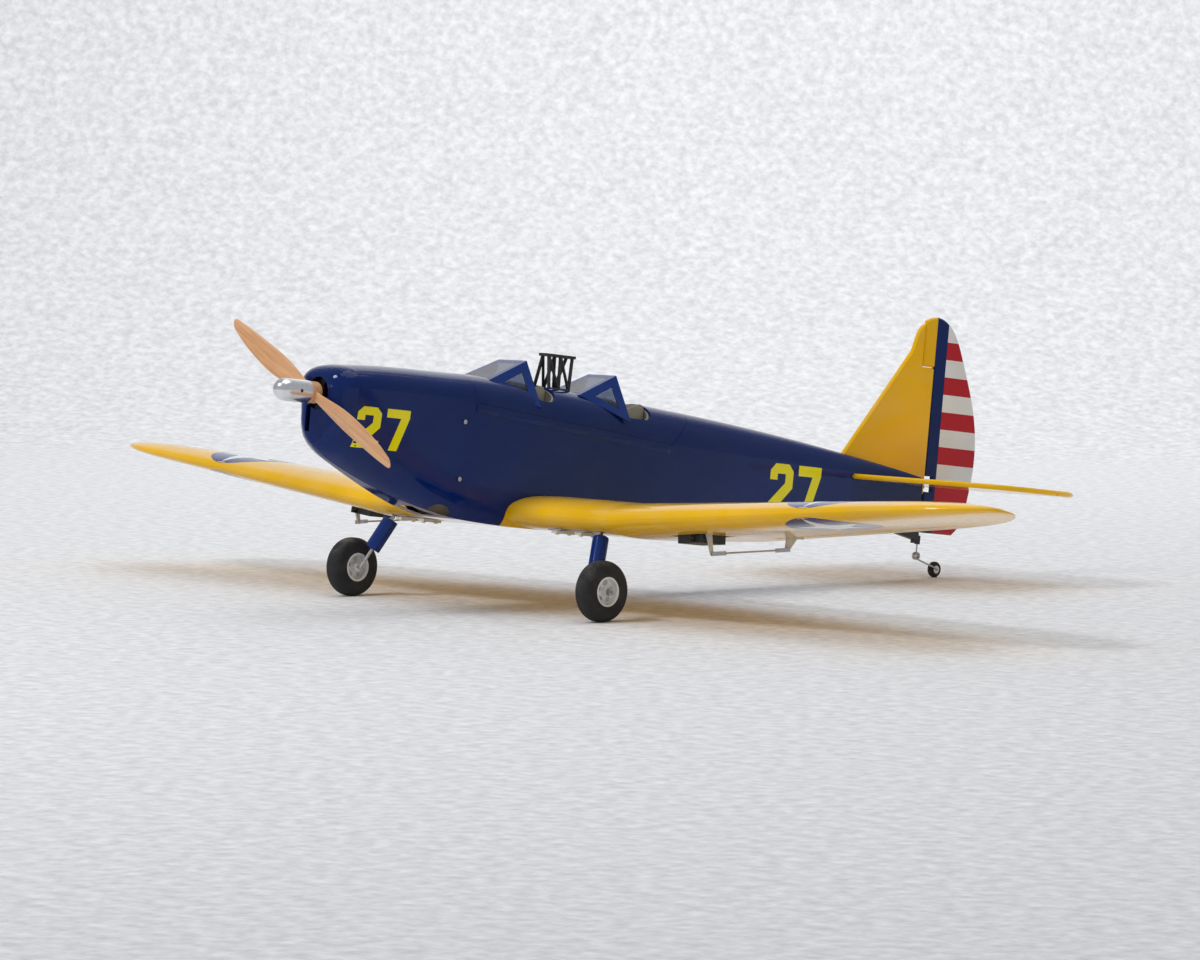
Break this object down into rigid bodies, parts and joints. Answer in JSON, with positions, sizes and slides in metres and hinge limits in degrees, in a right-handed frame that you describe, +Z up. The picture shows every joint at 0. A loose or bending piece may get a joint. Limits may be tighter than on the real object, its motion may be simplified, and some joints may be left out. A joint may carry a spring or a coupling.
{
  "type": "radio-controlled aeroplane model",
  "caption": "Low-wing radio-controlled model trainer with open tandem cockpits, fixed main gear, tail wheel, wooden propeller and working control surfaces.",
  "frame": {"origin": "floor under the middle of the model, which stands on its three wheels", "axes": "+X to port along the span, nose towards -Y, +Z up from the floor"},
  "size_m": [1.4718, 1.1642, 0.3359],
  "materials": {
    "blue_gloss": "gloss film over wood and glass-fibre",
    "yellow_gloss": "gloss heat-shrink film",
    "rudder_film": "gloss film, striped",
    "plywood": "bare birch ply",
    "prop_wood": "satin varnished beech",
    "polished_aluminium": "polished",
    "black_metal": "anodised black",
    "copper_winding": "enamelled windings",
    "steel": "spring steel wire",
    "black_plastic": "moulded",
    "ivory_nylon": "moulded nylon",
    "white_plastic": "moulded hub",
    "foam_rubber": "foam tyre",
    "blue_wrap": "heat-shrink sleeve",
    "strap_fabric": "hook-and-loop tape",
    "cockpit_grey": "moulded tub",
    "seat_brown": "moulded seats and panels",
    "clear_pane": "clear sheet",
    "black_truss": "semi-gloss black"
  },
  "bodies": {
    "airframe": {"aileron_servos": "black_plastic", "battery_pack": "blue_wrap", "battery_straps": "strap_fabric", "cowl": "blue_gloss", "cowl_screws": "steel", "electronic_boxes": "black_plastic", "fin": "yellow_gloss", "fuselage_servos": "black_plastic", "fuselage_shell": "blue_gloss", "gear_straps": "ivory_nylon", "gear_wires": "steel", "hinges": "steel", "joiner_tubes": "polished_aluminium", "leg_fairings": "blue_gloss", "motor_box": "plywood", "motor_mount": "polished_aluminium", "motor_stator": "copper_winding", "ply_formers": "plywood", "radio_trays": "plywood", "tail_bracket": "black_plastic", "tailplane": "yellow_gloss", "wheel_collars": "steel", "wing_centre": "yellow_gloss", "wing_fasteners": "ivory_nylon", "wing_panel_port": "yellow_gloss", "wing_panel_starboard": "yellow_gloss"},
    "power_train": {"motor_bell": "black_metal", "prop_shaft": "steel", "propeller": "prop_wood", "prop_nut": "polished_aluminium"},
    "port_wheel": {"wheel_hub_port": "white_plastic", "tyre_port": "foam_rubber"},
    "starboard_wheel": {"wheel_hub_starboard": "white_plastic", "tyre_starboard": "foam_rubber"},
    "rudder_body": {"rudder": "rudder_film", "rudder_horn": "ivory_nylon", "tail_wire": "steel"},
    "tail_wheel": {"tail_wheel_hub": "white_plastic", "tail_tyre": "foam_rubber"},
    "elevator_body": {"elevators": "yellow_gloss", "elevator_joiner": "steel", "elevator_horn": "ivory_nylon"},
    "port_aileron": {"aileron_port": "yellow_gloss", "aileron_horn_port": "ivory_nylon"},
    "starboard_aileron": {"aileron_starboard": "yellow_gloss", "aileron_horn_starboard": "ivory_nylon"},
    "port_aileron_arm": {"aileron_servo_arm_port": "ivory_nylon"},
    "starboard_aileron_arm": {"aileron_servo_arm_starboard": "ivory_nylon"},
    "port_aileron_rod": {"aileron_rod_port": "steel"},
    "starboard_aileron_rod": {"aileron_rod_starboard": "steel"},
    "elevator_arm": {"elevator_servo_arm": "ivory_nylon"},
    "elevator_rod": {"elevator_pushrod": "steel"},
    "rudder_arm": {"rudder_servo_arm": "ivory_nylon"},
    "rudder_rod": {"rudder_pushrod": "steel"},
    "hatch": {"hatch_deck": "blue_gloss", "cockpit_tubs": "cockpit_grey", "cockpit_fittings": "seat_brown", "windscreen_frames": "blue_gloss", "windscreen_panes": "clear_pane", "crash_pylon": "black_truss"}
  },
  "joints": [
    {"name": "prop_spin", "type": "hinge", "parent": "airframe", "child": "power_train", "pos_m": [0, -0.52066, 0.25668], "axis": [0, 0.9945, -0.1051], "continuous": true},
    {"name": "port_wheel_spin", "type": "hinge", "parent": "airframe", "child": "port_wheel", "pos_m": [0.217, -0.28032, 0.035], "axis": [1, 0, 0], "continuous": true},
    {"name": "starboard_wheel_spin", "type": "hinge", "parent": "airframe", "child": "starboard_wheel", "pos_m": [-0.217, -0.28032, 0.035], "axis": [1, 0, 0], "continuous": true},
    {"name": "rudder_swing", "type": "hinge", "parent": "airframe", "child": "rudder_body", "pos_m": [0, 0.48872, 0.15002], "axis": [0, 0.1051, 0.9945], "range_deg": [-25, 25]},
    {"name": "tail_wheel_spin", "type": "hinge", "parent": "rudder_body", "child": "tail_wheel", "pos_m": [0, 0.51013, 0.01], "axis": [1, 0, 0], "continuous": true},
    {"name": "elevator_swing", "type": "hinge", "parent": "airframe", "child": "elevator_body", "pos_m": [0, 0.48557, 0.12019], "axis": [1, 0, 0], "range_deg": [-20, 20]},
    {"name": "port_aileron_swing", "type": "hinge", "parent": "airframe", "child": "port_aileron", "pos_m": [0.29, -0.07562, 0.09965], "axis": [0.9887, -0.1117, 0.1003], "range_deg": [-20, 20]},
    {"name": "starboard_aileron_swing", "type": "hinge", "parent": "airframe", "child": "starboard_aileron", "pos_m": [-0.29, -0.07562, 0.09965], "axis": [0.9887, 0.1117, -0.1003], "range_deg": [-20, 20]},
    {"name": "port_aileron_arm_turn", "type": "hinge", "parent": "airframe", "child": "port_aileron_arm", "pos_m": [0.306, -0.19802, 0.10195], "axis": [0.9887, -0.1117, 0.1003], "range_deg": [-20, 20]},
    {"name": "starboard_aileron_arm_turn", "type": "hinge", "parent": "airframe", "child": "starboard_aileron_arm", "pos_m": [-0.306, -0.19802, 0.10195], "axis": [0.9887, 0.1117, -0.1003], "range_deg": [-20, 20]},
    {"name": "port_aileron_clevis", "type": "hinge", "parent": "port_aileron_arm", "child": "port_aileron_rod", "pos_m": [0.306, -0.19337, 0.07934], "axis": [0.9887, -0.1117, 0.1003], "range_deg": [-20, 20]},
    {"name": "starboard_aileron_clevis", "type": "hinge", "parent": "starboard_aileron_arm", "child": "starboard_aileron_rod", "pos_m": [-0.306, -0.19337, 0.07934], "axis": [0.9887, 0.1117, -0.1003], "range_deg": [-20, 20]},
    {"name": "elevator_arm_turn", "type": "hinge", "parent": "airframe", "child": "elevator_arm", "pos_m": [-0.024, -0.00669, 0.17221], "axis": [1, 0, 0], "range_deg": [-20, 20]},
    {"name": "elevator_clevis", "type": "hinge", "parent": "elevator_arm", "child": "elevator_rod", "pos_m": [-0.024, -0.00858, 0.15431], "axis": [1, 0, 0], "range_deg": [-20, 20]},
    {"name": "rudder_arm_turn", "type": "hinge", "parent": "airframe", "child": "rudder_arm", "pos_m": [0, 0.0315, 0.13398], "axis": [0, 0.1051, 0.9945], "range_deg": [-25, 25]},
    {"name": "rudder_clevis", "type": "hinge", "parent": "rudder_arm", "child": "rudder_rod", "pos_m": [-0.018, 0.0315, 0.13398], "axis": [0, 0.1051, 0.9945], "range_deg": [-25, 25]},
    {"name": "hatch_lift", "type": "slide", "parent": "airframe", "child": "hatch", "axis": [0, 0.1051, 0.9945], "range_m": [0, 0.06]}
  ],
  "couplings": [
    {"joint": "starboard_aileron_swing", "follows": "port_aileron_swing", "ratio": -1},
    {"joint": "port_aileron_arm_turn", "follows": "port_aileron_swing", "ratio": 1},
    {"joint": "port_aileron_clevis", "follows": "port_aileron_swing", "ratio": -1},
    {"joint": "starboard_aileron_arm_turn", "follows": "port_aileron_swing", "ratio": -1},
    {"joint": "starboard_aileron_clevis", "follows": "port_aileron_swing", "ratio": 1},
    {"joint": "elevator_arm_turn", "follows": "elevator_swing", "ratio": 1},
    {"joint": "elevator_clevis", "follows": "elevator_swing", "ratio": -1},
    {"joint": "rudder_arm_turn", "follows": "rudder_swing", "ratio": 1},
    {"joint": "rudder_clevis", "follows": "rudder_swing", "ratio": -1}
  ]
}
